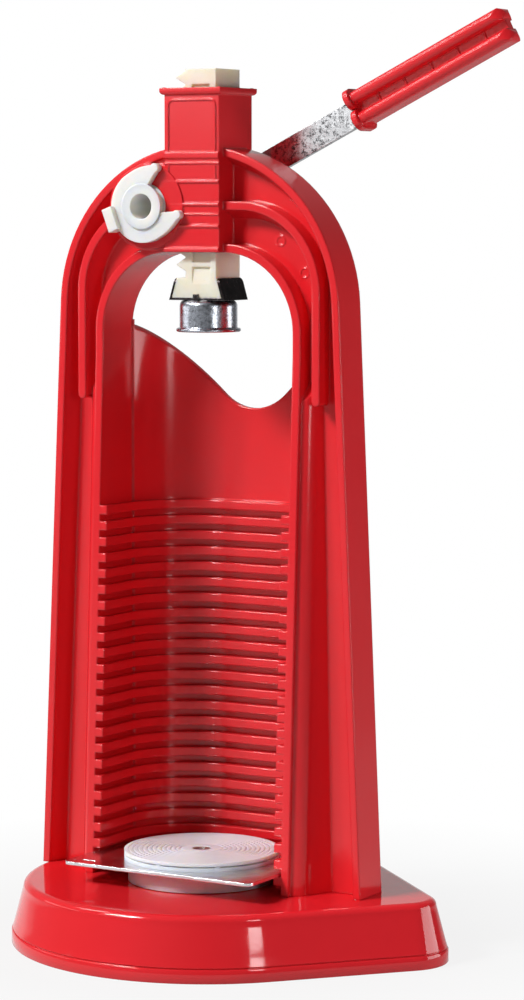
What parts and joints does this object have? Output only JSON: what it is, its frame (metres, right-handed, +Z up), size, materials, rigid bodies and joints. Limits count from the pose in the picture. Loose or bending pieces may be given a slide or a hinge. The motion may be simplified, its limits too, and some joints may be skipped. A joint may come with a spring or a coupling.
{
  "type": "bench capper",
  "caption": "Bench-top crown capper: arched column on a spurred foot, lever and pinion driving a toothed plunger with a crimping bell over a sliding rest tray.",
  "frame": {"origin": "on the capping axis at the underside of the foot", "axes": "+Z up along the capping axis, +X towards the lever side, -Y towards the front where the tray slides out"},
  "size_m": [0.3014, 0.2354, 0.5454],
  "materials": {
    "red_plastic": "glossy moulded",
    "white_nylon": "satin moulded",
    "plated_steel": "bright plated",
    "black_steel": "black",
    "bright_steel": "bright rolled",
    "zinc_steel": "zinc plated"
  },
  "bodies": {
    "frame": {"base_shell": "red_plastic", "base_cover": "red_plastic", "cover_screws": "zinc_steel", "column": "red_plastic", "column_screws": "zinc_steel", "rear_cover": "red_plastic", "rear_cover_screws": "zinc_steel"},
    "lever": {"pinion": "white_nylon", "retaining_clip": "white_nylon", "lever_bar": "bright_steel", "lever_grip": "red_plastic", "lever_washer": "zinc_steel", "lever_screw": "zinc_steel"},
    "plunger": {"rack_plunger": "white_nylon", "bell_bracket": "black_steel", "crown_bell": "plated_steel", "bell_magnet": "black_steel", "bell_rivet": "zinc_steel"},
    "tray": {"tray_plate": "plated_steel", "rest_ring": "white_nylon", "rest_disc": "white_nylon", "under_disc": "white_nylon", "rest_screw": "zinc_steel"}
  },
  "joints": [
    {"name": "lever_turn", "type": "hinge", "parent": "frame", "child": "lever", "pos_m": [-0.03072, 0, 0.4345], "axis": [0, 1, 0], "range_deg": [-40, 52]},
    {"name": "plunger_slide", "type": "slide", "parent": "frame", "child": "plunger", "axis": [0, 0, -1], "range_m": [-0.014, 0.0182]},
    {"name": "tray_slide", "type": "slide", "parent": "frame", "child": "tray", "axis": [0, -1, 0], "range_m": [-0.0085, 0.06]}
  ],
  "couplings": [
    {"joint": "plunger_slide", "follows": "lever_turn", "m_per_rad": 0.019875}
  ]
}
